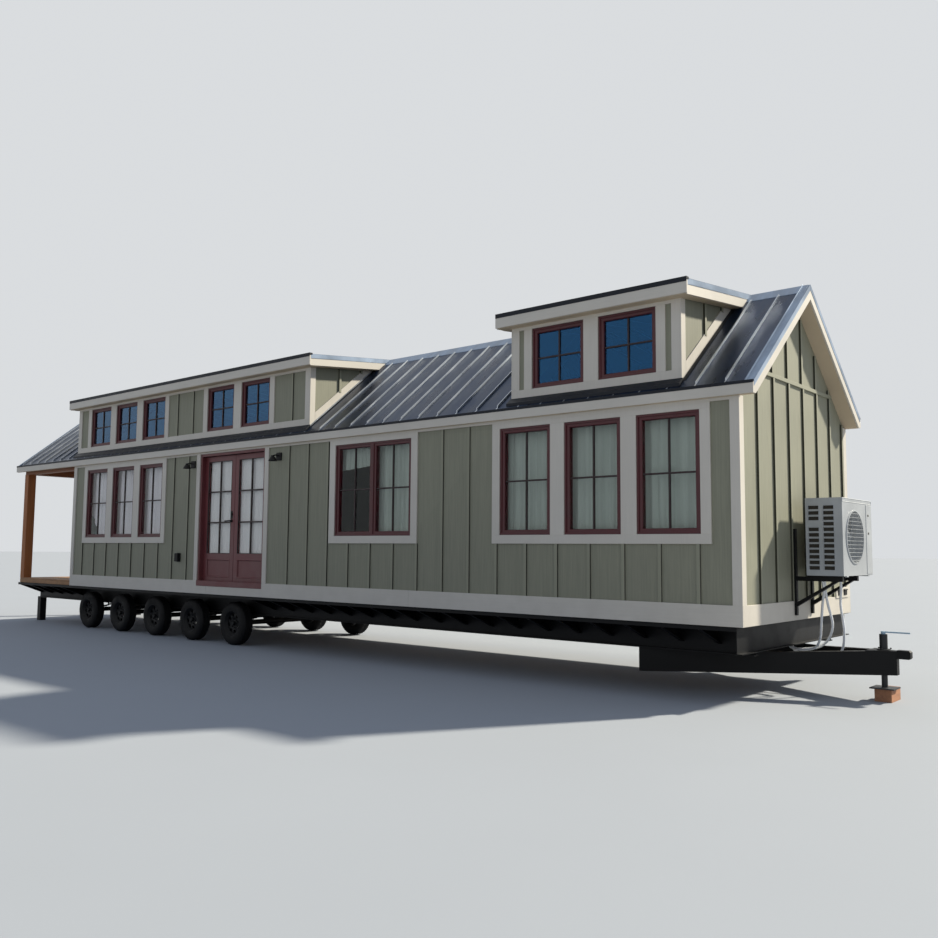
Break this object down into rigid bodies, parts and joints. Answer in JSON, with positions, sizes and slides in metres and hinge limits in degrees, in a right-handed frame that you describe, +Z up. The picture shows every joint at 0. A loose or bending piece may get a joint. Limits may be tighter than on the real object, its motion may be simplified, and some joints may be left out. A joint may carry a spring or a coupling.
{
  "type": "tiny house on wheels",
  "caption": "Park-model tiny house on a wheeled steel chassis, board and batten walls, metal roof with dormers, French doors, porch and tongue.",
  "frame": {"origin": "centre of the bounding box, on the level ground that the wheels stand on", "axes": "+X towards the towing tongue, +Y to the side away from the double doors, +Z up"},
  "size_m": [16.174, 3.2498, 4.3245],
  "materials": {
    "black_steel": "satin black chassis paint, dusty",
    "jack_steel": "dark painted steel",
    "crank_steel": "pale blue-grey paint",
    "block_wood": "rough orange-brown timber",
    "tyre_rubber": "matt black rubber with a dark steel rim",
    "floor_wood": "plain boards",
    "deck_wood": "stained deck boards",
    "beige_trim": "painted warm beige",
    "sage_siding": "painted sage green with wood grain",
    "roof_metal": "charcoal standing seam metal",
    "red_frame": "dark red-brown paint",
    "window_glass": "clear",
    "red_door": "painted brownish red",
    "black_fitting": "satin black",
    "cedar": "stained cedar",
    "white_case": "off-white powder coat",
    "fan_plastic": "dark grey",
    "line_cover": "white hose cover",
    "sheer_cloth": "sheer white cloth"
  },
  "bodies": {
    "root": {"main_beams": "black_steel", "cross_members": "black_steel", "outriggers": "black_steel", "tongue_beams": "black_steel", "coupler": "black_steel", "rear_legs": "black_steel", "axles": "black_steel", "unit_bracket": "black_steel", "jack_tube": "jack_steel", "jack_block": "block_wood", "floor_slab": "floor_wood", "porch_deck": "deck_wood", "skirt_boards": "beige_trim", "eave_trim": "beige_trim", "dormer_trim": "beige_trim", "corner_boards": "beige_trim", "window_trim": "beige_trim", "front_wall_left": "sage_siding", "front_wall_right": "sage_siding", "front_wall_over_door": "sage_siding", "rear_wall": "sage_siding", "tongue_end_wall": "sage_siding", "porch_end_wall": "sage_siding", "dormer_walls_front": "sage_siding", "dormer_walls_rear": "sage_siding", "roof_front": "roof_metal", "roof_rear": "roof_metal", "ridge_cap": "roof_metal", "dormer_roofs": "roof_metal", "window_frames": "red_frame", "window_glass": "window_glass", "door_frame": "red_door", "porch_door": "red_door", "wall_fittings": "black_fitting", "porch_posts": "cedar", "porch_header": "cedar", "unit_case": "white_case", "unit_grille": "white_case", "unit_lines": "line_cover", "curtains": "sheer_cloth"},
    "door_left": {"door_leaf_left": "red_door", "door_glass_left": "window_glass", "door_curtain_left": "sheer_cloth"},
    "door_right": {"door_leaf_right": "red_door", "door_glass_right": "window_glass", "door_curtain_right": "sheer_cloth"},
    "lever": {"door_lever": "black_fitting"},
    "fan": {"unit_fan": "fan_plastic"},
    "jack_leg": {"jack_leg": "jack_steel"},
    "jack_crank": {"jack_crank": "crank_steel"},
    "wheel_front_1": {"wheel_front_1": "tyre_rubber"},
    "wheel_front_2": {"wheel_front_2": "tyre_rubber"},
    "wheel_front_3": {"wheel_front_3": "tyre_rubber"},
    "wheel_front_4": {"wheel_front_4": "tyre_rubber"},
    "wheel_front_5": {"wheel_front_5": "tyre_rubber"},
    "wheel_rear_1": {"wheel_rear_1": "tyre_rubber"},
    "wheel_rear_2": {"wheel_rear_2": "tyre_rubber"},
    "wheel_rear_3": {"wheel_rear_3": "tyre_rubber"},
    "wheel_rear_4": {"wheel_rear_4": "tyre_rubber"},
    "wheel_rear_5": {"wheel_rear_5": "tyre_rubber"}
  },
  "joints": [
    {"name": "door_left_swing", "type": "hinge", "parent": "root", "child": "door_left", "pos_m": [-1.7295, -1.322, 1.9], "axis": [0, 0, 1], "range_deg": [0, 90]},
    {"name": "door_right_swing", "type": "hinge", "parent": "root", "child": "door_right", "pos_m": [-0.1905, -1.322, 1.9], "axis": [0, 0, -1], "range_deg": [0, 90]},
    {"name": "lever_turn", "type": "hinge", "parent": "door_left", "child": "lever", "pos_m": [-1.0235, -1.39, 1.865], "axis": [0, -1, 0], "range_deg": [0, 40], "stiffness_Nm_per_rad": 2, "springref_deg": -20.05},
    {"name": "fan_spin", "type": "hinge", "parent": "root", "child": "fan", "pos_m": [7.452, 0.172, 1.617], "axis": [1, 0, 0], "continuous": true},
    {"name": "jack_slide", "type": "slide", "parent": "root", "child": "jack_leg", "axis": [0, 0, 1], "range_m": [0, 0.06]},
    {"name": "jack_turn", "type": "hinge", "parent": "root", "child": "jack_crank", "pos_m": [7.832, 0.06, 0.66], "axis": [0, 0, 1], "continuous": true},
    {"name": "spin_front_1", "type": "hinge", "parent": "root", "child": "wheel_front_1", "pos_m": [-5.508, -1.16, 0.325], "axis": [0, 1, 0], "continuous": true},
    {"name": "spin_front_2", "type": "hinge", "parent": "root", "child": "wheel_front_2", "pos_m": [-4.413, -1.16, 0.325], "axis": [0, 1, 0], "continuous": true},
    {"name": "spin_front_3", "type": "hinge", "parent": "root", "child": "wheel_front_3", "pos_m": [-3.318, -1.16, 0.325], "axis": [0, 1, 0], "continuous": true},
    {"name": "spin_front_4", "type": "hinge", "parent": "root", "child": "wheel_front_4", "pos_m": [-2.223, -1.16, 0.325], "axis": [0, 1, 0], "continuous": true},
    {"name": "spin_front_5", "type": "hinge", "parent": "root", "child": "wheel_front_5", "pos_m": [-1.128, -1.16, 0.325], "axis": [0, 1, 0], "continuous": true},
    {"name": "spin_rear_1", "type": "hinge", "parent": "root", "child": "wheel_rear_1", "pos_m": [-5.508, 1.28, 0.325], "axis": [0, 1, 0], "continuous": true},
    {"name": "spin_rear_2", "type": "hinge", "parent": "root", "child": "wheel_rear_2", "pos_m": [-4.413, 1.28, 0.325], "axis": [0, 1, 0], "continuous": true},
    {"name": "spin_rear_3", "type": "hinge", "parent": "root", "child": "wheel_rear_3", "pos_m": [-3.318, 1.28, 0.325], "axis": [0, 1, 0], "continuous": true},
    {"name": "spin_rear_4", "type": "hinge", "parent": "root", "child": "wheel_rear_4", "pos_m": [-2.223, 1.28, 0.325], "axis": [0, 1, 0], "continuous": true},
    {"name": "spin_rear_5", "type": "hinge", "parent": "root", "child": "wheel_rear_5", "pos_m": [-1.128, 1.28, 0.325], "axis": [0, 1, 0], "continuous": true}
  ]
}
